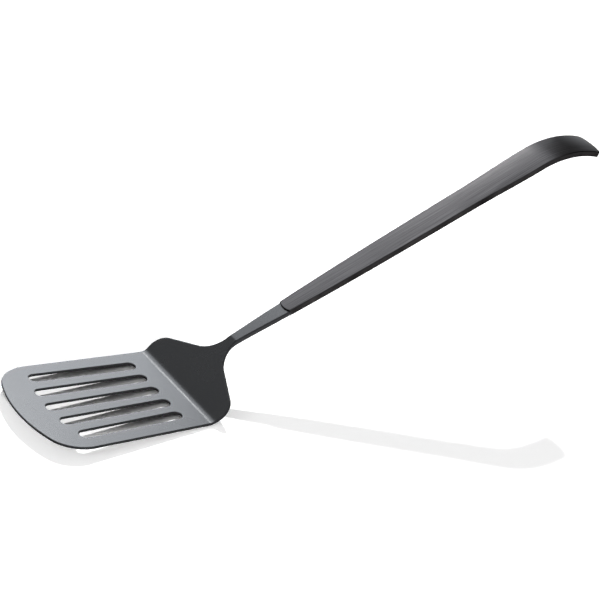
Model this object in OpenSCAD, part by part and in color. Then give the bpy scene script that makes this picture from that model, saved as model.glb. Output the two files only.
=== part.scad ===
// Slotted turner: a thin moulded head with a bent shoulder and neck, and a steel-topped handle
// with a hooked end. Millimetres. X runs across the blade, +Y towards the handle and +Z up.
// The blade's underside lies on z = 0, and the origin is on the solid strip behind the slots.

/* [Blade] */
// Length from the crease to the front edge, along the middle
blade_l = 105; // [92:0.2:115]
// Width at the crease
crease_w = 82; // [76:0.2:92]
// Outward lean of each side edge, in degrees
side_lean = 2.4; // [0:0.1:4]
// Radius of the front edge
front_r = 90; // [80:1:150]
// Radius of each front corner
front_corner_r = 22; // [14:0.5:24]
// Thickness of the blade and of the shoulder
sheet_t = 1.6; // [1.2:0.1:2.2]
// Distance from the origin to the crease
heel_l = 6.6; // [5:0.1:8]

/* [Slots] */
// Number of slots
slot_count = 5; // [3:2:5]
// Width of each slot
slot_w = 7; // [5.6:0.1:8]
// Distance between neighbouring slots at their rear ends
slot_pitch = 13.8; // [12.6:0.1:15]
// Angle between neighbouring slots, in degrees
slot_fan = 1.4; // [0:0.05:2]
// Distance from the crease to the rear ends
slot_rear = 13.8; // [11:0.2:20]
// Distance from the middle slot's front end to the front edge
slot_margin = 18.4; // [15:0.2:24]
// Radius of the curve that the front ends follow
slot_arc_r = 97; // [70:1:150]

/* [Shoulder] */
// Rise of the shoulder from the blade, in degrees
shoulder_angle = 41.5; // [36:0.5:44]
// Length along the slope, from the crease to the neck
shoulder_l = 42.2; // [38:0.1:48]
// Radius inside the crease
crease_r = 3.5; // [2.5:0.1:5]
// Radius of each shoulder corner
shoulder_corner_r = 11; // [8:0.5:13]
// Length of each straight side, from the crease to the corner
shoulder_side_l = 4.5; // [3:0.5:7]
// Outward lean of each straight side, in degrees
shoulder_lean = 8; // [2:0.5:12]
// Slope of the shoulder's upper edges, in degrees
shoulder_slope = 23.8; // [20:0.2:26]

/* [Neck] */
// Rise of the neck and the start of the handle, in degrees
neck_angle = 26.8; // [24:0.1:30]
// Length from the shoulder to the handle's front end
neck_l = 35; // [30:0.1:44]
// Thickness of the neck
neck_t = 3.2; // [2.6:0.1:4]
// Narrowest width of the neck
neck_w = 6.9; // [6.6:0.1:9]
// Radius of the scoop in front of the handle
scoop_r = 28; // [22:1:40]
// Depth of the scoop at the handle's front end
scoop_depth = 1.3; // [0.8:0.1:1.5]
// Length of the tang that runs into the handle
tang_l = 48; // [40:1:60]

/* [Handle] */
// Length from the front end to the start of the hook
grip_l = 180; // [150:1:200]
// Width that the handle widens towards
grip_w = 19.9; // [18:0.1:24]
// Length over which most of the widening happens
taper_l = 80; // [60:1:100]
// Extra width at the hook
flare_w = 2.5; // [0:0.1:4]
// Length of the flare before the hook
flare_l = 46; // [30:1:60]
// Height of the handle's crest above the neck
crest_h = 0.7; // [0.3:0.1:0.9]
// Radius of the crown across the handle
crown_r = 76; // [60:1:160]
// Radius of the rounded front end
seam_r = 12.2; // [11:0.1:16]
// Wall of the steel shell
shell_wall = 0.8; // [0.6:0.1:1]
// Radius of the hook
hook_r = 58.5; // [45:0.5:80]
// Turn of the hook, in degrees
hook_angle = 44.5; // [25:0.1:50]
// Radius of the end edge
tail_end_r = 50; // [40:1:90]

/* [Rivets] */
// Diameter of a rivet's shank
rivet_d = 3; // [2.4:0.1:3.4]
// Diameter of a rivet's flush head
rivet_head_d = 4.6; // [4.2:0.1:5]
// Depth of a rivet's flush head
rivet_head_h = 0.8; // [0.6:0.1:0.9]
// Distance from the handle's front end to the first rivet
first_rivet_l = 14; // [12:0.5:16]
// Distance between the rivets in the tang
tang_rivet_gap = 24; // [18:0.5:25]
// Distance from the tang's end to the next rivet
back_rivet_l = 14; // [8:0.5:20]
// Distance from the last rivet to the start of the hook
last_rivet_l = 12; // [8:0.5:20]

/* [Hidden] */
$fn = 96;
// Overrun of cuts past the faces they cut
over = 1;
// Clearance between the pieces inside the handle
fit_gap = 0.05;
// Length over which the neck's straight sides ease into the taper
ease_l = 7.6;
// Length of the neck's straight sides
neck_straight_l = 3.8;
// Spacing of the points along the handle's side edges
edge_gap = 4;
// Facets of a full turn on the hook, and steps round the crease
hook_fn = 360;
crease_steps = 10;

// Full thickness under the crest
grip_t = neck_t + crest_h;
// Flat length that the crease's arc takes on each side
crease_flat = crease_r * tan(shoulder_angle / 2);
// Angle between the shoulder and the neck
neck_bend = shoulder_angle - neck_angle;
// Length of the neck's underside that runs on under the shoulder
under_l = (neck_t - sheet_t / cos(neck_bend)) / tan(neck_bend);
// Directions along and up from the shoulder and the neck in a side view, y then z
along_shoulder = [cos(shoulder_angle), sin(shoulder_angle)];
along_neck = [cos(neck_angle), sin(neck_angle)];
up_neck = [-along_neck.y, along_neck.x];
// Distance from the shoulder at which the handle stops widening
steady_from = neck_l + grip_l - edge_gap;
// Half width of the neck at the shoulder
neck_half = run_w(0) / 2;
// Reach of the middle slot, and the slots' spacing at their front ends
slot_reach = blade_l - slot_margin;
slot_front_pitch = slot_pitch + (slot_reach - slot_rear) * tan(slot_fan);

// Smooth step from 0 to 1
function ease(t) = let (c = min(1, max(0, t))) c * c * (3 - 2 * c);
// Distance along the taper, which starts softly
function soft(u) = (u + sqrt(u * u + ease_l * ease_l)) / 2;
// Width of the neck and handle at a distance from the shoulder, steady from just before the hook
function run_w(u) = let (v = min(u, steady_from))
    grip_w - (grip_w - neck_w) * exp(-soft(v - neck_straight_l) / taper_l)
    + flare_w * ease((v - steady_from + flare_l) / flare_l);
// Reach of a slot's front end, which follows a curve
function slot_tip(x) = slot_reach - slot_arc_r + sqrt(slot_arc_r * slot_arc_r - x * x);

// Places on the shoulder, on the neck, and on the handle's crest
module on_shoulder()
    translate([0, heel_l, sheet_t]) rotate([shoulder_angle, 0, 0]) children();
module on_neck()
    on_shoulder() translate([0, shoulder_l, 0]) rotate([-neck_bend, 0, 0]) children();
module on_grip()
    on_neck() translate([0, neck_l, crest_h]) children();

// Runs of a section, drawn with its height along x and its top at x = 0: straight, then bending down
module straight_run(run_l)
    rotate([-90, -90, 0]) linear_extrude(run_l) children();
module hook_run()
    translate([0, 0, -hook_r]) rotate([0, -90, 0])
        rotate_extrude(angle = hook_angle, $fn = hook_fn) translate([hook_r, 0]) children();

// Section of the handle, its height along x and wider than any part of it; inset lowers the crown
module crown_section(inset, drop)
    intersection() {
        translate([-grip_t - drop, -grip_w]) square([grip_t + drop, 2 * grip_w]);
        translate([-crown_r, 0]) circle(crown_r - inset, $fn = 720);
    }

// Plan of the neck and handle from one distance to another, its sides drawn in by inset
module run_plan(from, to, inset = 0) {
    steps = ceil((to - from) / edge_gap);
    us = [for (i = [0 : steps]) from + (to - from) * i / steps];
    right = [for (u = us) [run_w(u) / 2 - inset, u]];
    left = [for (i = [steps : -1 : 0]) [inset - run_w(us[i]) / 2, us[i]]];
    polygon(concat(right, left));
}

// Rounded front end of the handle in plan, from the neck's frame
module front_round(inset = 0)
    translate([0, neck_l + seam_r]) circle(seam_r - inset);

// Plan of the handle in its own frame, with the rounded front end
module handle_plan(inset)
    translate([0, -neck_l])
        intersection() {
            run_plan(neck_l, neck_l + grip_l + hook_r, inset);
            union() {
                front_round(inset);
                translate([-grip_w, neck_l + seam_r]) square([2 * grip_w, grip_l + hook_r]);
            }
        }

// Solid of the handle, drawn in by inset at its top, sides and ends; drop lowers its underside
module handle_body(inset = 0, drop = 0)
    intersection() {
        union() {
            straight_run(grip_l) crown_section(inset, drop);
            translate([0, grip_l, 0]) hook(inset, drop);
        }
        translate([0, 0, -hook_r]) linear_extrude(hook_r + grip_w) handle_plan(inset);
    }

module hook(inset, drop)
    intersection() {
        hook_run() crown_section(inset, drop);
        translate([0, 0, -hook_r]) rotate([-hook_angle, 0, 0])
            translate([0, -tail_end_r, 0]) cylinder(r = tail_end_r - inset, h = 2 * hook_r);
    }

// Side view of the head from in front of the blade to inside the handle, y then z
module head_side() {
    front = [heel_l - 2 * blade_l, 0];
    centre = [heel_l - crease_flat, sheet_t + crease_r];
    rays = [for (i = [0 : crease_steps]) let (a = shoulder_angle * i / crease_steps) [sin(a), -cos(a)]];
    below = [for (i = [0 : crease_steps]) centre + (crease_r + sheet_t) * rays[i]];
    above = [for (i = [crease_steps : -1 : 0]) centre + crease_r * rays[i]];
    bend = [heel_l, sheet_t] + shoulder_l * along_shoulder;
    root = bend - under_l * along_neck - neck_t * up_neck;
    end = bend + (neck_l + seam_r) * along_neck;
    polygon(concat([front], below, [root, end - neck_t * up_neck, end, bend], above, [front + [0, sheet_t]]));
}

// Outline of the blade and crease, with the crease at y = 0
module blade_outline() {
    reach = front_r - front_corner_r;
    side_x = crease_w / 2;
    front_y = front_r - blade_l;
    // Direction from the front edge's centre to the centre of a corner that touches both edges
    turn = side_lean + asin((side_x * cos(side_lean) - front_corner_r
        - (front_y + crease_flat) * sin(side_lean)) / reach);
    corner = [reach * sin(turn), front_y - reach * cos(turn)];
    edge = corner + front_corner_r * [cos(side_lean), sin(side_lean)];
    ray = 2 * front_r * [sin(turn), -cos(turn)];
    polygon([[-side_x, crease_flat], [side_x, crease_flat], [side_x, -crease_flat], edge,
        corner, [-corner.x, corner.y], [-edge.x, edge.y], [-side_x, -crease_flat]]);
    for (side = [-1, 1]) translate([side * corner.x, corner.y]) circle(front_corner_r);
    intersection() {
        translate([0, front_y]) circle(front_r, $fn = 360);
        translate([0, front_y]) polygon([[0, 0], ray, [-ray.x, ray.y]]);
    }
}

// Outline of one slot, from its rear end's centre towards the front
module slot_outline(run) {
    circle(d = slot_w);
    translate([-slot_w / 2, -run]) square([slot_w, run]);
    translate([0, -run]) circle(d = slot_w);
}

// All slots, fanned out, as cutters through the blade
module slots()
    for (i = [0 : slot_count - 1]) let (
        k = i - (slot_count - 1) / 2,
        tip = slot_tip(k * slot_front_pitch),
        run = (tip - slot_rear - slot_w) / cos(k * slot_fan)
    )
        translate([k * slot_pitch, -slot_rear - slot_w / 2, -over])
            rotate([0, 0, k * slot_fan])
                linear_extrude(sheet_t + 2 * over) slot_outline(run);

// Round corner of the shoulder, down to the end of its straight side
module shoulder_corner()
    intersection() {
        circle(shoulder_corner_r);
        translate(-shoulder_corner_r * [1, sin(shoulder_lean)]) square(2 * shoulder_corner_r);
    }

// Outline of the shoulder, with the crease at y = 0; a fillet leads into the neck and ends at its start
module shoulder_outline() {
    side_x = crease_w / 2;
    side_end = [side_x, 0] + shoulder_side_l * [sin(shoulder_lean), cos(shoulder_lean)];
    corner = side_end - shoulder_corner_r * [cos(shoulder_lean), -sin(shoulder_lean)];
    out = [sin(shoulder_slope), cos(shoulder_slope)];
    top = corner + shoulder_corner_r * out;
    // Radius and centre of the fillet, which touches the sloping edge and the neck's side
    fillet_r = ((shoulder_l - top.y) * out.y - (top.x - neck_half) * out.x) / (1 - out.x);
    fillet = [neck_half + fillet_r, shoulder_l];
    foot = fillet - fillet_r * out;
    right = [[side_x - over, -over], [side_x, 0], side_end, corner, top, foot, [neck_half, shoulder_l],
        [neck_half, shoulder_l + over]];
    left = [for (i = [len(right) - 1 : -1 : 0]) [-right[i].x, right[i].y]];
    difference() {
        union() {
            polygon(concat(right, left));
            for (side = [-1, 1]) translate([side * corner.x, corner.y]) shoulder_corner();
        }
        for (side = [-1, 1]) translate([side * fillet.x, fillet.y]) circle(fillet_r);
    }
}

// Solid of the head's side view over the blade's whole width and more
module head_slab()
    translate([-crease_w, 0, 0]) rotate([90, 0, 90]) linear_extrude(2 * crease_w) head_side();

// Blade and crease, with the slots
module blade()
    difference() {
        intersection() {
            head_slab();
            translate([0, heel_l, -over]) linear_extrude(over + sheet_t + crease_r) blade_outline();
        }
        translate([0, heel_l, 0]) slots();
    }

module shoulder()
    intersection() {
        head_slab();
        on_shoulder() translate([0, 0, -2 * neck_t]) linear_extrude(2 * neck_t + over) shoulder_outline();
    }

// Ball that scoops the neck's top where it meets the handle, turned so that its poles are off the neck
module scoop(gap = 0)
    translate([0, neck_l, scoop_r - scoop_depth]) rotate([0, -90, 0]) sphere(scoop_r - gap, $fn = 180);

// Plan of the neck up to the handle's rounded front end
module neck_plan()
    difference() {
        run_plan(-over, neck_l + seam_r);
        front_round(-fit_gap);
        translate([-grip_w, neck_l + seam_r]) square(2 * grip_w);
    }

// Neck, and a bridge under the shell's front wall that joins it to the tang
module neck()
    difference() {
        union() {
            intersection() {
                head_slab();
                on_neck() translate([0, 0, -2 * neck_t]) linear_extrude(2 * neck_t + over) neck_plan();
            }
            on_neck() translate([0, 0, fit_gap - neck_t]) linear_extrude(neck_t - 2 * fit_gap)
                run_plan(neck_l - over, neck_l + 2 * shell_wall, shell_wall + 2 * fit_gap);
        }
        on_neck() scoop();
    }

module tang()
    intersection() {
        handle_body(shell_wall + fit_gap, -fit_gap);
        translate([-grip_w, 0, -2 * grip_t]) cube([2 * grip_w, tang_l, 2 * grip_t]);
    }

// One rivet from the handle's underside up to the shell's inner face
module rivet(gap = 0)
    translate([0, 0, -grip_t - gap]) {
        cylinder(d = rivet_d + 2 * gap, h = grip_t - shell_wall - fit_gap + gap, $fn = 48);
        cylinder(d1 = rivet_head_d + 2 * gap, d2 = rivet_d + 2 * gap, h = rivet_head_h + gap, $fn = 48);
    }

// All rivets: two through the tang and two through the back
module rivets(gap = 0)
    on_grip()
        for (u = [first_rivet_l, first_rivet_l + tang_rivet_gap, tang_l + back_rivet_l, grip_l - last_rivet_l])
            translate([0, u, 0]) rivet(gap);

module turner_head()
    color([0.13, 0.13, 0.14]) difference() {
        union() {
            blade();
            shoulder();
            neck();
            on_grip() tang();
        }
        rivets(fit_gap);
    }

module handle_shell()
    color([0.3, 0.3, 0.31]) on_grip() difference() {
        handle_body();
        handle_body(shell_wall, over);
        passage();
    }

module handle_back()
    color([0.1, 0.1, 0.11]) difference() {
        on_grip() difference() {
            handle_body(shell_wall + fit_gap);
            translate([-grip_w, -over, -2 * grip_t])
                cube([2 * grip_w, tang_l + fit_gap + over, 3 * grip_t]);
        }
        rivets(fit_gap);
    }

// Way in under the shell's front wall, as wide as the cavity and as high as the scooped neck
module passage()
    translate([0, -neck_l, -crest_h])
        difference() {
            translate([0, 0, -neck_t - over]) linear_extrude(neck_t + over)
                run_plan(neck_l - over, neck_l + 2 * shell_wall, shell_wall);
            scoop(fit_gap);
        }

module handle_rivets()
    color([0.55, 0.55, 0.56]) rivets();

turner_head();
handle_shell();
handle_back();
handle_rivets();
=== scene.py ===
"""Looks of a slotted turner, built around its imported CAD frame. Metres, in the CAD's frame."""
import math

import bpy
import numpy as np
from mathutils import Matrix, Vector
from mathutils.geometry import delaunay_2d_cdt

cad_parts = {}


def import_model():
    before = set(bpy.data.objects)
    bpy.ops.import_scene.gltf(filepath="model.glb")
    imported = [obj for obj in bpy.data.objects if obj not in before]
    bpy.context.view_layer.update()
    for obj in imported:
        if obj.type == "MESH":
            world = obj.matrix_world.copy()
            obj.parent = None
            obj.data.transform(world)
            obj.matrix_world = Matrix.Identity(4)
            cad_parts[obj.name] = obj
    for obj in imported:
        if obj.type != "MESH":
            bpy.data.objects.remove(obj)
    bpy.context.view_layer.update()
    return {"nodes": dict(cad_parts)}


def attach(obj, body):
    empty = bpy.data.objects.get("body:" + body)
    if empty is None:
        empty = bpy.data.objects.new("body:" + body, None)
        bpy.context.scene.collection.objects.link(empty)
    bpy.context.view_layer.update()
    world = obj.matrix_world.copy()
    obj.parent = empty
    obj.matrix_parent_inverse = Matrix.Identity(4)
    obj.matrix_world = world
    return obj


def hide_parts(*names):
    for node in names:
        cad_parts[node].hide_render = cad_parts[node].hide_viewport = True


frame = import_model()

MM = 0.001

# Sizes of the part in millimetres and degrees, by their names in its source. The blade
BLADE_L = 105
CREASE_W = 82
SIDE_LEAN = 2.4
FRONT_R = 90
FRONT_CORNER_R = 22
SHEET_T = 1.6
HEEL_L = 6.6

# Its slots
SLOT_COUNT = 5
SLOT_W = 7
SLOT_PITCH = 13.8
SLOT_FAN = 1.4
SLOT_REAR = 13.8
SLOT_MARGIN = 18.4
SLOT_ARC_R = 97

# The shoulder
SHOULDER_ANGLE = 41.5
SHOULDER_L = 42.2
SHOULDER_CORNER_R = 11
SHOULDER_SIDE_L = 4.5
SHOULDER_LEAN = 8
SHOULDER_SLOPE = 23.8

# The neck, and the tang inside the handle
NECK_ANGLE = 26.8
NECK_L = 35
NECK_T = 3.2
NECK_W = 6.9
NECK_STRAIGHT_L = 3.8
EASE_L = 7.6
TANG_L = 48

# The handle, and the clearance between its pieces
GRIP_L = 180
GRIP_W = 19.9
TAPER_L = 80
FLARE_W = 2.5
FLARE_L = 46
EDGE_GAP = 4
CREST_H = 0.7
SEAM_R = 12.2
SHELL_WALL = 0.8
HOOK_R = 58.5
HOOK_ANGLE = 44.5
TAIL_END_R = 50
FIT_GAP = 0.05

# The photograph shows a rounder crease, a flatter handle and a shallower scoop than the solids have, which
# hold 3.5, 76 and 1.3 for these
CREASE_R = 8
CROWN_R = 140
SCOOP_DEPTH = 0.3

# Sizes that follow from these
GRIP_T = NECK_T + CREST_H
CREASE_FLAT = CREASE_R * math.tan(math.radians(SHOULDER_ANGLE / 2))
NECK_BEND = math.radians(SHOULDER_ANGLE - NECK_ANGLE)
UNDER_L = (NECK_T - SHEET_T / math.cos(NECK_BEND)) / math.tan(NECK_BEND)
STEADY_FROM = NECK_L + GRIP_L - EDGE_GAP
GRIP_FRONT_S = SHOULDER_L + NECK_L
HEAD_END = GRIP_FRONT_S + TANG_L
HOOK_L = HOOK_R * math.radians(HOOK_ANGLE)
TAIL_L = GRIP_L + HOOK_L

# The CAD's curves are flats in its mesh, and the visual stays inside them
FACET_GAP = 0.03
HOOK_FACET_GAP = 0.003

# Roundings of the edges and corners, which the CAD leaves sharp
HEAD_EDGE = 0.7
SLOT_EDGE = 0.7
SHELL_EDGE = 0.5
RIM_EDGE = 0.22
BACK_EDGE = 0.35
SEAM_CORNER_R = 0.35
TAIL_CORNER_R = 2.6
HORN_CORNER_R = 0.25
TANG_CORNER_R = 0.9
BACK_FRONT_CORNER_R = 0.6
BACK_TAIL_CORNER_R = 1.0

# Width of the flat border beside a rounding, and the inset within which a surface counts as wall
SUPPORT = 0.12
WALL_INSET = 0.3

# Lengths over which the head's bends are softened: the top's, the underside's at the same place, and the
# underside's where the neck's full thickness starts
BEND_SOFT = 0.5
UNDER_SOFT = 0.95
ROOT_SOFT = 2.5

# Length of the scoop, by which the neck's top dips towards the handle
SCOOP_L = 20

# Where the tang's top drops under the shell, behind the handle's front end, and over which length
TANG_DROP_FROM = 1.2
TANG_DROP_L = 1.5

# How far the undersides of the tang and the back lie inside the rim, so that the rivets' flush heads show,
# and the length over which the tang's goes in
RECESS = 0.06
RECESS_L = 2

# How far the shell's front end sinks into the neck, and where and over which length its wall grows from
# there to full depth
SHELL_FRONT_SINK = 0.5
SHELL_DROP_FROM = 0.33
SHELL_DROP_L = 0.12

# Inside the handle: the height of its inner wall, and the depth of the back's top and its gap to the tang
INNER_WALL_H = 0.9
BACK_TOP = 1.2
BACK_GAP = 0.15

# A depth of zero, measured up from the underside, and the distance within which two points are one
UNDERSIDE = -1e-9
SAME_PLACE = 1e-6


def turned(angle):
    """Directions along and up from a slope, in a side view."""
    a = math.radians(angle)
    return np.array([math.cos(a), math.sin(a)]), np.array([-math.sin(a), math.cos(a)])


ALONG_SHOULDER, UP_SHOULDER = turned(SHOULDER_ANGLE)
ALONG_NECK, UP_NECK = turned(NECK_ANGLE)
CREASE = np.array([HEEL_L, SHEET_T])
BEND = CREASE + SHOULDER_L * ALONG_SHOULDER
ROOT = BEND - UNDER_L * ALONG_NECK - NECK_T * UP_NECK
ROOT_S = float((ROOT - CREASE) @ ALONG_SHOULDER)
GRIP_START = BEND + NECK_L * ALONG_NECK + CREST_H * UP_NECK


def ease(t):
    """Smooth step from 0 to 1 as t goes from 0 to 1."""
    c = min(1, max(0, t))
    return c * c * (3 - 2 * c)


def soft(u, k):
    """A ramp that is 0 before u = 0 and u after it, softened over a length k."""
    return (u + math.sqrt(u * u + k * k)) / 2


def run_w(u):
    """Width of the neck and handle at a distance from the shoulder."""
    v = min(u, STEADY_FROM)
    return (GRIP_W - (GRIP_W - NECK_W) * math.exp(-soft(v - NECK_STRAIGHT_L, EASE_L) / TAPER_L)
            + FLARE_W * ease((v - STEADY_FROM + FLARE_L) / FLARE_L))


def crown(x):
    """Depth of the handle's crowned top at x."""
    return CROWN_R - math.sqrt(CROWN_R ** 2 - x * x)


# A place on the head is x across, s along the top from the crease to the rear, and a depth
def head_top(s):
    """Point of the top in a side view, and the direction up from it."""
    if s <= -CREASE_FLAT:
        return CREASE + np.array([s, 0]), np.array([0.0, 1.0])
    if s < CREASE_FLAT:
        a = SHOULDER_ANGLE * (s + CREASE_FLAT) / (2 * CREASE_FLAT)
        up = turned(a)[1]
        centre = np.array([HEEL_L - CREASE_FLAT, SHEET_T + CREASE_R])
        return centre - CREASE_R * up, up
    fall = (ALONG_NECK - ALONG_SHOULDER) * soft(s - SHOULDER_L, BEND_SOFT)
    t = ease((s - SHOULDER_L) / BEND_SOFT + 0.5)
    up = (1 - t) * UP_SHOULDER + t * UP_NECK
    return CREASE + s * ALONG_SHOULDER + fall, up / np.linalg.norm(up)


def head_under(s):
    """Point of the underside in a side view."""
    if s < CREASE_FLAT:
        point, up = head_top(s)
        return point - SHEET_T * up
    slow = UNDER_L / (SHOULDER_L - ROOT_S)
    along = slow * ALONG_NECK
    point = ROOT + ALONG_SHOULDER * (s - ROOT_S) + (along - ALONG_SHOULDER) * soft(s - ROOT_S, ROOT_SOFT)
    point = point + (1 - slow) * ALONG_NECK * soft(s - SHOULDER_L, UNDER_SOFT)
    return point + RECESS * ease((s - GRIP_FRONT_S) / RECESS_L) * UP_NECK


def scoop(s):
    """Height of the neck's top above its plain face: it dips towards the handle's front end."""
    v = s - GRIP_FRONT_S + SCOOP_L
    return -SCOOP_DEPTH * (max(0.0, v) / SCOOP_L) ** 2


def tang_top(x):
    """The same inside the handle, where the tang's top stays under the shell."""
    return CREST_H - SHELL_WALL - FIT_GAP - crown(x)


def head_place(x, s, d):
    """Point at depth d below the head's top; d is negative when it is measured up from the underside."""
    top, up = head_top(s)
    under = head_under(s)
    t = ease((s - GRIP_FRONT_S - TANG_DROP_FROM) / TANG_DROP_L)
    height = (1 - t) * scoop(min(s, GRIP_FRONT_S)) + t * tang_top(x)
    top = top + height * up
    thick = np.linalg.norm(top - under)
    f = d / thick if d >= 0 else 1 + d / thick
    p = top + (under - top) * f
    return Vector((x, p[0], p[1])) * MM


def grip_place(x, s, d):
    """Point at depth d below the handle's crest; s runs from its front end along the crest."""
    if s <= GRIP_L:
        p = GRIP_START + s * ALONG_NECK - d * UP_NECK
    else:
        up = turned(NECK_ANGLE - math.degrees((s - GRIP_L) / HOOK_R))[1]
        centre = GRIP_START + GRIP_L * ALONG_NECK - (HOOK_R + HOOK_FACET_GAP) * UP_NECK
        p = centre + (HOOK_R - d) * up
    return Vector((x, p[0], p[1])) * MM


# Outlines: right halves as lists of (x, s), from the front middle round to the rear middle
def arc(centre, radius, start, end, gap=0.6):
    """Points of an arc between two angles in degrees."""
    steps = max(2, math.ceil(abs(math.radians(end - start)) * radius / gap))
    return [(centre[0] + radius * math.cos(math.radians(start + (end - start) * i / steps)),
             centre[1] + radius * math.sin(math.radians(start + (end - start) * i / steps)))
            for i in range(steps + 1)]


def line(a, b, gap=1.5):
    """Points of a straight line, with both ends."""
    steps = max(1, math.ceil(math.dist(a, b) / gap))
    return [(a[0] + (b[0] - a[0]) * i / steps, a[1] + (b[1] - a[1]) * i / steps) for i in range(steps + 1)]


def chained(*runs, nearest=0.02):
    """One list of points, without any that is nearly the one before it."""
    out = []
    for run in runs:
        for p in run:
            if not out or math.dist(out[-1], p) > nearest:
                out.append(p)
    return out


def closed_loop(half):
    """Closed anticlockwise outline from a right half that starts and ends on the middle line."""
    return np.array(half + [(-x, s) for x, s in reversed(half[1:-1])])


def inwards(loop):
    """How each point moves when the outline is inset by one, so that corners stay sharp."""
    before, after = loop - np.roll(loop, 1, 0), np.roll(loop, -1, 0) - loop
    before /= np.linalg.norm(before, axis=1)[:, None]
    after /= np.linalg.norm(after, axis=1)[:, None]
    tangent = before + after
    tangent /= np.linalg.norm(tangent, axis=1)[:, None]
    cosine = np.clip((tangent * after).sum(1), 0.5, 1)
    return np.stack([-tangent[:, 1], tangent[:, 0]], 1) / cosine[:, None]


def rounded(half, corner_at, radius):
    """The half outline with its sharp convex corner nearest corner_at rounded."""
    pts = np.array(half)
    k = int(np.argmin(np.linalg.norm(pts - np.array(corner_at), axis=1)))

    def inset(run):
        """The stretch of outline moved inwards by the radius."""
        d = np.gradient(run, axis=0)
        d /= np.linalg.norm(d, axis=1)[:, None]
        return run + radius * np.stack([-d[:, 1], d[:, 0]], 1)

    # The rounding's centre is where the two sides, each moved inwards, cross
    a, b = inset(pts[:k + 1]), inset(pts[k:])
    gap = np.linalg.norm(a[:, None] - b[None], axis=2)
    i, j = np.unravel_index(int(np.argmin(gap)), gap.shape)
    centre = (a[i] + b[j]) / 2
    start, end = (math.degrees(math.atan2(*(q - centre)[::-1])) for q in (pts[i], pts[k + j]))
    if end < start:
        end += 360
    before, after = [tuple(p) for p in pts[:i]], [tuple(p) for p in pts[k + j + 1:]]
    return chained(before, arc(centre, radius, start, end, gap=0.12), after)


# Distances along the head at which lines run across it: in even steps of the crease, and just outside it
CREASE_STEPS = 14
CREASE_LINES = [-CREASE_FLAT - SUPPORT,
                *(CREASE_FLAT * (2 * i / CREASE_STEPS - 1) for i in range(CREASE_STEPS + 1)),
                CREASE_FLAT + SUPPORT]


def blade_half():
    """Front arc, corner and side of the blade, up to the crease."""
    reach, side_x, front_s = FRONT_R - FRONT_CORNER_R, CREASE_W / 2, FRONT_R - BLADE_L + FACET_GAP
    lean = math.radians(SIDE_LEAN)
    # The corner's circle touches the leaning side, and the front arc from inside
    turn = lean + math.asin((side_x * math.cos(lean) - FRONT_CORNER_R
                             - (front_s + CREASE_FLAT) * math.sin(lean)) / reach)
    corner = (reach * math.sin(turn), front_s - reach * math.cos(turn))
    front = arc((0, front_s), FRONT_R, -90, math.degrees(turn) - 90, gap=1)
    round_corner = arc(corner, FRONT_CORNER_R, math.degrees(turn) - 90, SIDE_LEAN)
    side = line(round_corner[-1], (side_x, CREASE_LINES[0]), gap=2)
    return chained(front, round_corner, side, [(side_x, s) for s in CREASE_LINES if s <= 0])


def shoulder_half():
    """Side, corner, sloping edge and fillet of the shoulder, up to the neck."""
    side_x, neck_half = CREASE_W / 2, run_w(0) / 2
    lean, slope = math.radians(SHOULDER_LEAN), math.radians(SHOULDER_SLOPE)
    end = (side_x + SHOULDER_SIDE_L * math.sin(lean), SHOULDER_SIDE_L * math.cos(lean))
    inward = (-math.cos(lean), math.sin(lean))
    corner = (end[0] + SHOULDER_CORNER_R * inward[0], end[1] + SHOULDER_CORNER_R * inward[1])
    out = (math.sin(slope), math.cos(slope))
    top = (corner[0] + SHOULDER_CORNER_R * out[0], corner[1] + SHOULDER_CORNER_R * out[1])
    # The fillet's circle touches the sloping edge where the corner ends, and the neck's side at its start
    fillet_r = ((SHOULDER_L - top[1]) * out[1] - (top[0] - neck_half) * out[0]) / (1 - out[0])
    fillet = (neck_half + fillet_r, SHOULDER_L)
    bent = [(side_x + s * math.tan(lean), s) for s in CREASE_LINES if s > 0]
    round_corner = arc(corner, SHOULDER_CORNER_R, -SHOULDER_LEAN, 90 - SHOULDER_SLOPE, gap=0.4)
    return chained(bent, line(bent[-1], end, gap=1), round_corner,
                   arc(fillet, fillet_r, 270 - SHOULDER_SLOPE, 180, gap=0.4))


def seam_side(rounds=40):
    """Where the shell's round front end meets its side, found in rounds: x, and distance from the front."""
    u = 0.0
    for _ in range(rounds):
        half = run_w(NECK_L + u) / 2
        u = SEAM_R - math.sqrt(SEAM_R ** 2 - half ** 2)
    return half, u


SEAM_X, SEAM_U = seam_side()

# How far behind that place the neck keeps its full width, before it steps in to the tang
HORN_L = 0.3

# Stretch of the shell's side at each end with close points, because the corners there are rounded
CLOSE_L = 4


def head_half():
    """Right half of the whole head's outline, with its tang inside the handle."""
    horn_s = GRIP_FRONT_S + SEAM_U + HORN_L
    neck = [(run_w(s - SHOULDER_L) / 2, s) for s in np.linspace(SHOULDER_L, horn_s, 60)]
    inset = SHELL_WALL + FIT_GAP
    tang = [(run_w(s - SHOULDER_L) / 2 - inset, s) for s in np.linspace(horn_s, HEAD_END, 50)]
    half = chained(blade_half(), shoulder_half(), neck, line(neck[-1], tang[0], gap=0.1), tang,
                   line(tang[-1], (0, HEAD_END), gap=0.4))
    half = rounded(half, neck[-1], HORN_CORNER_R)
    return rounded(half, tang[-1], TANG_CORNER_R)


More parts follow.
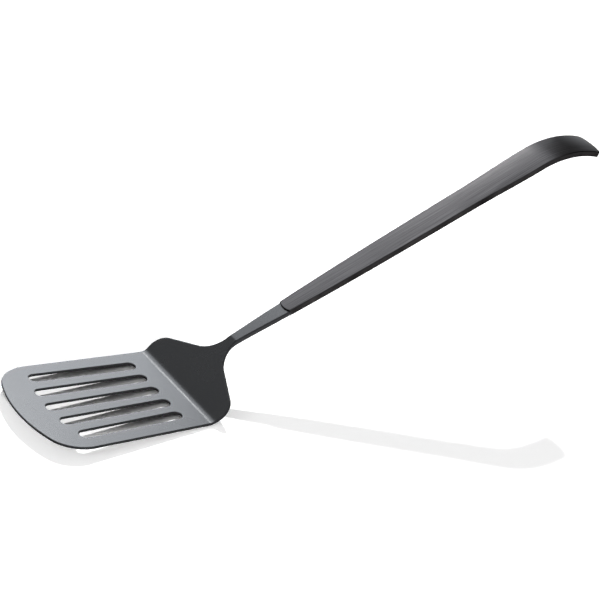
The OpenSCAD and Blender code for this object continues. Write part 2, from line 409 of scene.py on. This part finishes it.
def shell_half():
    """Right half of the handle's outline, from its rounded front to its tail."""
    half_angle = math.degrees(math.asin(SEAM_X / SEAM_R))
    front = arc((0, SEAM_R), SEAM_R, -90, -90 + half_angle, gap=0.12)
    side_x = run_w(STEADY_FROM) / 2
    side_end = TAIL_L - TAIL_END_R + math.sqrt(TAIL_END_R ** 2 - side_x ** 2)
    us = list(np.arange(SEAM_U, SEAM_U + CLOSE_L, 0.15))
    us += list(np.linspace(SEAM_U + CLOSE_L, side_end - CLOSE_L, 150))
    us += list(np.linspace(side_end - CLOSE_L, side_end, 28))[1:]
    side = [(run_w(NECK_L + u) / 2, u) for u in us]
    turn = math.degrees(math.asin(side_x / TAIL_END_R))
    end = arc((0, TAIL_L - TAIL_END_R), TAIL_END_R, 90 - turn, 90, gap=0.15)
    half = rounded(chained(front, side, end), (side_x, side_end), TAIL_CORNER_R)
    return rounded(half, (SEAM_X, SEAM_U), SEAM_CORNER_R)


def slot_loops():
    """Outline of each slot, clockwise, so that its inset widens the hole."""
    reach = BLADE_L - SLOT_MARGIN
    front_pitch = SLOT_PITCH + (reach - SLOT_REAR) * math.tan(math.radians(SLOT_FAN))
    loops = []
    for i in range(SLOT_COUNT):
        k = i - (SLOT_COUNT - 1) / 2
        tip = reach - SLOT_ARC_R + math.sqrt(SLOT_ARC_R ** 2 - (k * front_pitch) ** 2)
        a = math.radians(k * SLOT_FAN)
        run = (tip - SLOT_REAR - SLOT_W) / math.cos(a)
        r = SLOT_W / 2
        local = chained(arc((0, 0), r, 0, 180, gap=0.35), line((-r, 0), (-r, -run), gap=2),
                        arc((0, -run), r, 180, 360, gap=0.35), line((r, -run), (r, 0), gap=2))[:-1]
        x0, s0 = k * SLOT_PITCH, -SLOT_REAR - r
        turn = np.array([(math.cos(a), math.sin(a)), (-math.sin(a), math.cos(a))])
        loops.append(np.array(local[::-1]) @ turn + (x0, s0))
    return loops


# Meshes
def quarter(radius, steps=5):
    """Insets and depths of a rounded edge, from the flat face to the wall."""
    return [(radius * (1 - math.sin(a)), radius * (1 - math.cos(a)))
            for a in (math.pi / 2 * i / steps for i in range(steps + 1))]


# What the triangulation gives: faces inside the outer ring only
INSIDE_ONLY = 1


class Skin:
    """Vertices and faces of one closed piece, made of rings and of caps across them.

    run holds each vertex's place across and along, for the brushing, and wall is 1 where it is on a wall.
    """

    def __init__(self, place):
        self.place = place
        self.points = []
        self.run = []
        self.wall = []
        self.faces = []

    def add(self, x, s, depth, wall=0.0):
        """A vertex; depth is a number or a function of x and s."""
        self.points.append(self.place(x, s, depth(x, s) if callable(depth) else depth))
        self.run.append((x * MM, s * MM, 0.0))
        self.wall.append(wall)
        return len(self.points) - 1

    def ring(self, loop, inset, depth):
        """Ring of vertices, and their places."""
        at = loop + inset * inwards(loop)
        wall = 1.0 if inset < WALL_INSET else 0.0
        return [self.add(x, s, depth, wall) for x, s in at], at

    def bridge(self, upper, lower):
        """Wall between two rings of as many points, upper above lower."""
        n = len(upper)
        self.faces += [(upper[(i + 1) % n], upper[i], lower[i], lower[(i + 1) % n]) for i in range(n)]

    def rings(self, loop, rows):
        """Rings joined from the first to the last; gives the first and last with their places."""
        made = [self.ring(loop, inset, depth) for inset, depth in rows]
        for upper, lower in zip(made, made[1:]):
            self.bridge(upper[0], lower[0])
        return made[0], made[-1]

    def cap(self, outer, holes, inner, lines, depth, flip=False):
        """Face inside the outer ring, round the holes, through the inner points and lines."""
        ids, flat = list(outer[0]), [Vector(p) for p in outer[1]]
        border = list(range(len(ids)))
        edges = list(zip(border, border[1:] + border[:1]))
        hole_of = {}
        for hole, (ring, at) in enumerate(holes):
            round_hole = list(range(len(ids), len(ids) + len(ring)))
            ids += ring
            flat += [Vector(p) for p in at]
            edges += zip(round_hole, round_hole[1:] + round_hole[:1])
            hole_of.update({i: hole for i in round_hole})
        edges += lines
        for x, s in inner:
            ids.append(self.add(x, s, depth))
            flat.append(Vector((x, s)))
        places, _, faces, sources, _, _ = delaunay_2d_cdt(flat, edges, [border], INSIDE_ONLY, SAME_PLACE)
        # The triangulation may add points where lines cross
        known = []
        for place, source in zip(places, sources):
            if not source:
                ids.append(self.add(place.x, place.y, depth))
            known.append(source[0] if source else len(ids) - 1)
        # A face with all its corners on one hole's ring lies in that hole, and is left out
        for face in faces:
            corners = [known[i] for i in face]
            on_holes = {hole_of.get(i) for i in corners}
            if len(on_holes) == 1 and None not in on_holes:
                continue
            a, b, c = (places[i] for i in face[:3])
            up = (b - a).cross(c - a) > 0
            made = [ids[i] for i in corners]
            self.faces.append(tuple(made if up != flip else reversed(made)))

    def build(self, name, coat, node):
        """Makes the object, which stands for a CAD node."""
        mesh = bpy.data.meshes.new(name)
        mesh.from_pydata([tuple(p) for p in self.points], [], self.faces)
        run = mesh.attributes.new("run", "FLOAT_VECTOR", "POINT")
        run.data.foreach_set("vector", np.array(self.run, np.float32).ravel())
        wall = mesh.attributes.new("wall", "FLOAT", "POINT")
        wall.data.foreach_set("value", np.array(self.wall, np.float32))
        mesh.shade_smooth()
        mesh.materials.append(coat)
        mesh.validate()
        piece = bpy.data.objects.new(name, mesh)
        bpy.context.scene.collection.objects.link(piece)
        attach(piece, "root")
        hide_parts(node)


def rows_along(*stretches):
    """Where rows of inner points lie, from stretches that each have a start, an end and a gap."""
    return [s for start, end, gap in stretches for s in np.arange(start, end, gap)]


def lattice(loop, s_values, x_gap, margin):
    """Points inside an outline, in rows across it."""
    out = []
    side = loop[loop[:, 0] > 0]
    for s in s_values:
        near = side[np.argsort(np.abs(side[:, 1] - s))[:2]]
        half = near[:, 0].max() - margin
        if half < x_gap / 3:
            continue
        n = max(1, round(2 * half / x_gap))
        out += [(half * (2 * i / n - 1), s) for i in range(n + 1)]
    return out


def sheet_rows(radius):
    """Insets and depths of the rings round a sheet's edge, from its top to its underside."""
    edge = quarter(radius)
    border = radius + SUPPORT
    under = [(inset, UNDERSIDE - depth) for inset, depth in reversed(edge)]
    return [(border, 0.0)] + edge + under + [(border, UNDERSIDE)]


def head_skin(coat):
    """Blade, shoulder, neck and tang, with rounded edges round the outline and the slots."""
    skin = Skin(head_place)
    loop = closed_loop(head_half())
    top, under = skin.rings(loop, sheet_rows(HEAD_EDGE))
    slots = [skin.rings(hole, sheet_rows(SLOT_EDGE)) for hole in slot_loops()]
    # Lines across the crease join the outline's points at the same distance along
    lines = []
    for s in CREASE_LINES:
        lines.append(tuple(i for i, p in enumerate(loop) if abs(p[1] - s) < SAME_PLACE))
    # The rows are closest at the bend from the shoulder to the neck
    s_values = rows_along((ROOT_S - 5, SHOULDER_L - 1, 0.8), (SHOULDER_L - 1, SHOULDER_L + 1.01, 0.2),
                          (SHOULDER_L + 1.6, GRIP_FRONT_S + 4, 0.6), (GRIP_FRONT_S + 5, HEAD_END - 2, 3.0))
    inner = lattice(loop, s_values, x_gap=0.9, margin=HEAD_EDGE + SUPPORT + 0.45)
    skin.cap(top, [s[0] for s in slots], inner, lines, 0.0)
    skin.cap(under, [s[1] for s in slots], inner, lines, UNDERSIDE, flip=True)
    skin.build("head_skin", coat, "turner_head")


def shell_skin(coat):
    """Steel top, walls and rim of the handle, hollow underneath."""
    skin = Skin(grip_place)
    loop = closed_loop(shell_half())
    front_depth = CREST_H + SCOOP_DEPTH + SHELL_FRONT_SINK

    def low(depth):
        """Depth of the wall, which stops at the neck at the front end."""
        def limited(x, s):
            t = ease((s - SEAM_U - SHELL_DROP_FROM) / SHELL_DROP_L)
            return min(depth, front_depth + (GRIP_T - front_depth) * t)
        return limited

    def top(depth):
        """Depth below the crowned top."""
        return lambda x, s: crown(x) + depth

    edge = quarter(SHELL_EDGE, steps=7)
    rim = quarter(RIM_EDGE, steps=3)
    rows = [(SHELL_EDGE + SUPPORT, top(0.0))] + [(i, top(d)) for i, d in edge]
    rows += [(i, low(GRIP_T - d)) for i, d in reversed(rim)]
    rows += [(SHELL_WALL - i, low(GRIP_T - d)) for i, d in rim]
    rows += [(SHELL_WALL, low(GRIP_T - INNER_WALL_H))]
    first, last = skin.rings(loop, rows)
    s_values = rows_along((1.5, GRIP_L, 2.0), (GRIP_L, TAIL_L - 0.5, 1.0))
    inner = lattice(loop, s_values, x_gap=1.2, margin=SHELL_EDGE + SUPPORT + 0.5)
    # The points keep clear of the round front and of the tail's end
    clear = SHELL_EDGE + 0.6
    inner = [(x, s) for x, s in inner
             if (s > SEAM_R or math.hypot(x, s - SEAM_R) < SEAM_R - clear)
             and math.hypot(x, s - TAIL_L + TAIL_END_R) < TAIL_END_R - clear]
    skin.cap(first, [], inner, [], top(0.0))
    ceiling = [(x, s) for x, s in inner if s > SEAM_R]
    skin.cap(last, [], ceiling, [], GRIP_T - INNER_WALL_H, flip=True)
    skin.build("handle_skin", coat, "handle_shell")


def back_skin(coat):
    """Backing inside the shell's walls, flush with its underside, behind the tang."""
    skin = Skin(grip_place)
    inset = SHELL_WALL + FIT_GAP
    tail = TAIL_L - inset
    start = TANG_L + BACK_GAP
    us = np.linspace(start, tail - 2, 160)
    side = [(run_w(NECK_L + u) / 2 - inset, u) for u in us]
    half_w = run_w(STEADY_FROM) / 2 - inset
    end_r = TAIL_END_R - inset
    turn = math.degrees(math.asin(half_w / end_r))
    end = arc((0, tail - end_r), end_r, 90 - turn, 90, gap=0.3)
    half = chained(line((0, start), side[0], gap=0.2), side, line(side[-1], end[0], gap=0.15), end)
    half = rounded(half, end[0], BACK_TAIL_CORNER_R)
    half = rounded(half, side[0], BACK_FRONT_CORNER_R)
    loop = closed_loop(half)
    edge = quarter(BACK_EDGE, steps=3)
    under = GRIP_T - RECESS
    rows = [(BACK_EDGE + SUPPORT, BACK_TOP)] + [(i, BACK_TOP + d) for i, d in edge]
    rows += [(i, under - d) for i, d in reversed(edge)] + [(BACK_EDGE + SUPPORT, under)]
    first, last = skin.rings(loop, rows)
    s_values = rows_along((start + 2, GRIP_L, 4.0), (GRIP_L, tail - 1.5, 1.5))
    inner = lattice(loop, s_values, x_gap=3, margin=1.2)
    skin.cap(first, [], inner, [], BACK_TOP)
    skin.cap(last, [], inner, [], under, flip=True)
    skin.build("back_skin", coat, "handle_back")


# Materials
def material(name, colour, roughness, metallic=0.0, specular=0.5):
    """A Principled material and its shader. An input that is linked later doesn't use its plain value."""
    mat = bpy.data.materials.new(name)
    mat.use_nodes = True
    shader = mat.node_tree.nodes["Principled BSDF"]
    shader.inputs["Base Color"].default_value = (*colour, 1)
    shader.inputs["Roughness"].default_value = roughness
    shader.inputs["Metallic"].default_value = metallic
    shader.inputs["Specular IOR Level"].default_value = specular
    return mat, shader


def node(mat, kind, **values):
    """A new node; values whose names start with an underscore are its settings, the others its inputs."""
    made = mat.node_tree.nodes.new(kind)
    for key, value in values.items():
        if key.startswith("_"):
            setattr(made, key[1:], value)
        else:
            made.inputs[key.replace("_", " ")].default_value = value
    return made


def link(mat, source, target):
    """Joins a node's output to another's input."""
    mat.node_tree.links.new(source, target)


def grey(mat, value):
    """The colour whose three channels are a value."""
    made = node(mat, "ShaderNodeCombineColor")
    for channel in ("Red", "Green", "Blue"):
        link(mat, value, made.inputs[channel])
    return made.outputs["Color"]


def grain(mat, **values):
    """Noise in the piece's own space."""
    place = node(mat, "ShaderNodeTexCoord")
    noise = node(mat, "ShaderNodeTexNoise", **values)
    link(mat, place.outputs["Object"], noise.inputs["Vector"])
    return noise.outputs["Fac"]


def mapped(mat, value, **limits):
    """A value mapped from one range to another."""
    made = node(mat, "ShaderNodeMapRange", **limits)
    link(mat, value, made.inputs["Value"])
    return made.outputs["Result"]


def bump(mat, shader, height, strength, distance):
    """Fine relief on the surface; distance in metres."""
    made = node(mat, "ShaderNodeBump", Strength=strength, Distance=distance)
    link(mat, height, made.inputs["Height"])
    link(mat, made.outputs["Normal"], shader.inputs["Normal"])


def nylon():
    """Satin black moulding with a fine spark-eroded grain, and painted shade on its edges, which reflect
    less.
    """
    mat, shader = material("nylon", (0.011, 0.0113, 0.012), roughness=0.26, specular=0.32)
    # Painted shade: walls and roundings get a weaker sheen, so that the edges look darker
    wall = node(mat, "ShaderNodeAttribute", _attribute_name="wall")
    sheen = mapped(mat, wall.outputs["Fac"], To_Min=0.32, To_Max=0.12)
    link(mat, sheen, shader.inputs["Specular IOR Level"])
    fine = grain(mat, Scale=2600.0, Detail=3.0, Roughness=0.6)
    broad = grain(mat, Scale=38.0, Detail=4.0, Roughness=0.55)
    rough = mapped(mat, broad, From_Min=0.3, From_Max=0.7, To_Min=0.24, To_Max=0.28)
    link(mat, rough, shader.inputs["Roughness"])
    bump(mat, shader, fine, strength=0.02, distance=0.00004)
    return mat


# Noise scales across and along the handle, of the fine streaks and of the broader bands
FINE_STREAKS = (4200.0, 40.0)
BROAD_BANDS = (1300.0, 16.0)

# How much redder than grey the coated steel is
WARMTH = 1.05


def streaks(mat, scale):
    """Noise drawn out along the handle and round its hook."""
    place = node(mat, "ShaderNodeAttribute", _attribute_name="run")
    stretch = node(mat, "ShaderNodeMapping", Scale=(*scale, 1.0))
    link(mat, place.outputs["Vector"], stretch.inputs["Vector"])
    noise = node(mat, "ShaderNodeTexNoise", Scale=1.0, Detail=3.0, Roughness=0.6)
    link(mat, stretch.outputs["Vector"], noise.inputs["Vector"])
    return noise.outputs["Fac"]


def combined(mat, operation, a, b):
    """The result of an operation on two values, of which b may be a number."""
    made = node(mat, "ShaderNodeMath", _operation=operation)
    link(mat, a, made.inputs[0])
    if isinstance(b, float):
        made.inputs[1].default_value = b
    else:
        link(mat, b, made.inputs[1])
    return made.outputs["Value"]


def black_steel():
    """Black-coated steel, brushed lengthwise, with painted shade on its edges, which are darker."""
    mat, shader = material("black_steel", (0.045, 0.045, 0.046), roughness=0.3, metallic=1.0)
    fine = streaks(mat, FINE_STREAKS)
    both = combined(mat, "ADD", fine, streaks(mat, BROAD_BANDS))
    tone = mapped(mat, both, From_Min=0.62, From_Max=1.38, To_Min=0.015, To_Max=0.059)
    # Painted shade: the walls get a darker colour and a weaker specular tint, so that the edges look darker
    wall = node(mat, "ShaderNodeAttribute", _attribute_name="wall").outputs["Fac"]
    tint = grey(mat, mapped(mat, wall, To_Min=0.6, To_Max=0.1))
    link(mat, tint, shader.inputs["Specular Tint"])
    shade = combined(mat, "MULTIPLY", tone, mapped(mat, wall, To_Min=1.0, To_Max=0.55))
    colour = node(mat, "ShaderNodeCombineColor")
    link(mat, combined(mat, "MULTIPLY", shade, WARMTH), colour.inputs["Red"])
    link(mat, shade, colour.inputs["Green"])
    link(mat, shade, colour.inputs["Blue"])
    link(mat, colour.outputs["Color"], shader.inputs["Base Color"])
    bump(mat, shader, fine, strength=0.25, distance=0.00002)
    return mat


def backing():
    """Matte black backing."""
    mat, shader = material("backing", (0.02, 0.02, 0.021), roughness=0.6)
    bump(mat, shader, grain(mat, Scale=1500.0, Detail=3.0), strength=0.3, distance=0.00005)
    return mat


def rivet_steel():
    """Plain steel of the rivets, turned flat."""
    mat, shader = material("rivet_steel", (0.34, 0.34, 0.35), roughness=0.32, metallic=1.0)
    rough = mapped(mat, grain(mat, Scale=1800.0, Detail=2.0), To_Min=0.25, To_Max=0.42)
    link(mat, rough, shader.inputs["Roughness"])
    return mat


# Floor: its slope in degrees, its drop below the crease in millimetres, and its size in metres. The shadows
# in the photograph show that it meets the turner at the crease only
FLOOR_TILT = 3.165
FLOOR_GAP = 0.377
FLOOR_SIZE = 8.0

# The floor's tone to rays that carry its light on, and to those that see it
FLOOR_TONE = 0.8
FLOOR_SEEN = 1.35


def seen_directly(mat):
    """1 for camera, glossy and transmission rays, else 0."""
    rays = node(mat, "ShaderNodeLightPath").outputs
    total = combined(mat, "MAXIMUM", rays["Is Camera Ray"], rays["Is Glossy Ray"])
    return combined(mat, "MAXIMUM", total, rays["Is Transmission Ray"])


def floor():
    """Plain floor that falls away towards the blade's front. It looks white, with the turner's shadows."""
    mesh = bpy.data.meshes.new("floor")
    along = turned(FLOOR_TILT)[0]
    half = FLOOR_SIZE / 2
    corners = []
    for x, run in ((-half, -half), (half, -half), (half, half), (-half, half)):
        y, z = np.array([CREASE[0], -FLOOR_GAP]) * MM + run * along
        corners.append((x, y, z))
    mesh.from_pydata(corners, [], [(0, 1, 2, 3)])
    mat = bpy.data.materials.new("floor")
    mat.use_nodes = True
    mat.node_tree.nodes.remove(mat.node_tree.nodes["Principled BSDF"])
    tone = mapped(mat, seen_directly(mat), To_Min=FLOOR_TONE, To_Max=FLOOR_SEEN)
    matte = node(mat, "ShaderNodeBsdfDiffuse")
    link(mat, grey(mat, tone), matte.inputs["Color"])
    link(mat, matte.outputs[0], mat.node_tree.nodes["Material Output"].inputs["Surface"])
    mesh.materials.append(mat)
    made = bpy.data.objects.new("floor", mesh)
    bpy.context.scene.collection.objects.link(made)


# The surroundings' strengths on the camera's side and on the far side, towards which they grow brighter
AMBIENT_LOW = 0.09
AMBIENT_HIGH = 0.25
BRIGHT_SIDE = (-1.0, 0.0, 0.0)


def world():
    """Soft grey surroundings."""
    made = bpy.data.worlds.new("studio")
    made.use_nodes = True
    bpy.context.scene.world = made
    background = made.node_tree.nodes["Background"]
    background.inputs["Color"].default_value = (1, 1, 1, 1)
    place = node(made, "ShaderNodeTexCoord")
    side = node(made, "ShaderNodeVectorMath", _operation="DOT_PRODUCT")
    link(made, place.outputs["Generated"], side.inputs[0])
    side.inputs[1].default_value = BRIGHT_SIDE
    strength = mapped(made, side.outputs["Value"], _interpolation_type="SMOOTHSTEP",
                      From_Min=-1.0, From_Max=1.0, To_Min=AMBIENT_LOW, To_Max=AMBIENT_HIGH)
    link(made, strength, background.inputs["Strength"])


# The camera, fitted to the photograph: its angles in degrees, its focal length in pixels, the scale at one
# point of the part, the pixel that shows this point, the point in millimetres, and the reach in metres
FRAME_PX = 600
SENSOR = 36.0
VIEW_AZ = 52.57749
VIEW_EL = 28.40735
VIEW_ROLL = 11.66077
FOCAL_PX = 3135.713
PX_PER_MM = 1.732294
FIT_POINT_PX = (176.5821, 386.8370)
FIT_POINT = Vector((0, 5.4, 1.5))
CLIP_END = 50


def camera():
    """Camera at the photograph's viewing angle."""
    az, el, roll = (math.radians(a) for a in (VIEW_AZ, VIEW_EL, VIEW_ROLL))
    back = Vector((math.sin(az) * math.cos(el), -math.cos(az) * math.cos(el), math.sin(el)))
    side = (-back).cross(Vector((0, 0, 1))).normalized()
    up = side.cross(-back)
    u = math.cos(roll) * side + math.sin(roll) * up
    v = -math.sin(roll) * side + math.cos(roll) * up
    distance = FOCAL_PX / PX_PER_MM
    across = (FIT_POINT_PX[0] - FRAME_PX / 2) / PX_PER_MM
    down = (FIT_POINT_PX[1] - FRAME_PX / 2) / PX_PER_MM
    place = FIT_POINT + back * distance - u * across + v * down
    data = bpy.data.cameras.new("camera")
    data.sensor_width = SENSOR
    data.lens = FOCAL_PX / FRAME_PX * SENSOR
    data.clip_end = CLIP_END
    made = bpy.data.objects.new("camera", data)
    turn = Matrix((u, v, back)).transposed().to_4x4()
    made.matrix_world = Matrix.Translation(place * MM) @ turn
    bpy.context.scene.collection.objects.link(made)
    bpy.context.scene.camera = made


# Cool light of the softboxes, and the nearly white light of the small one that the crease reflects
BOX_COLOUR = (0.89, 0.935, 1.0)
CREASE_COLOUR = (0.95, 0.96, 0.96)

# The boxes beyond the turner stand at this x, and face it squarely
BOX_X = -0.75

# Direction of the main lamp, from the photograph's shadows, in degrees
LAMP_AZ = -56.53
LAMP_EL = 37.68


def placed(made, centre, towards, axis):
    """Puts a light in the scene at its centre, with its axis along a direction."""
    turn = towards.to_track_quat(axis, "Y").to_matrix().to_4x4()
    made.matrix_world = Matrix.Translation(centre) @ turn
    bpy.context.scene.collection.objects.link(made)


def softbox(name, centre, size, radiance, aim=None, colour=BOX_COLOUR):
    """Rectangular light of a given radiance that faces along x, or to aim; only reflections show it."""
    data = bpy.data.lights.new(name, "AREA")
    data.shape = "RECTANGLE"
    data.size, data.size_y = size
    data.energy = radiance * math.pi * size[0] * size[1]
    data.color = colour
    made = bpy.data.objects.new(name, data)
    made.visible_diffuse = False
    centre = Vector(centre)
    placed(made, centre, Vector(aim or (0, centre.y, centre.z)) - centre, "-Z")


def lamp(name, azimuth, elevation, width, level):
    """Distant lamp that adds a level to a white floor, for shade and shadows only; angles in degrees."""
    az, el = math.radians(azimuth), math.radians(elevation)
    data = bpy.data.lights.new(name, "SUN")
    data.angle = math.radians(width)
    data.energy = level * math.pi / math.sin(el)
    made = bpy.data.objects.new(name, data)
    made.visible_glossy = False
    back = Vector((math.sin(az) * math.cos(el), math.cos(az) * math.cos(el), math.sin(el)))
    placed(made, Vector(), back, "Z")


camera()
world()
floor()
softbox("handle_box", (BOX_X, 0.19, 1.16), size=(0.64, 1.08), radiance=3.75)
softbox("crease_box", (BOX_X, 0.31, 0.68), size=(0.14, 0.08), radiance=46.0, colour=CREASE_COLOUR)
softbox("hook_box", (BOX_X, 1.0, 0.36), size=(0.3, 0.4), radiance=1.4)
softbox("back_box", (1.5, 0.1, 0.85), size=(1.8, 0.9), radiance=1.3, aim=(0, 0.1, 0.2))
softbox("top_box", (0.2, 0.1, 1.8), size=(1.2, 1.2), radiance=2.5, aim=(0, 0.1, 0))
softbox("far_box", (-0.8, -0.6, 0.6), size=(1.8, 1.2), radiance=0.52)
softbox("blade_box", (BOX_X, 0.335, 0.37), size=(0.77, 0.58), radiance=5.6)
lamp("lamp", LAMP_AZ, LAMP_EL, width=1.2, level=0.58)
lamp("front_fill", azimuth=180, elevation=30, width=30, level=0.06)
lamp("near_fill", azimuth=105, elevation=12, width=10, level=0.4)

head_skin(nylon())
shell_skin(black_steel())
back_skin(backing())
rivets = frame["nodes"]["handle_rivets"]
rivets.data.materials.clear()
rivets.data.materials.append(rivet_steel())

bpy.context.scene.view_settings.view_transform = "Standard"
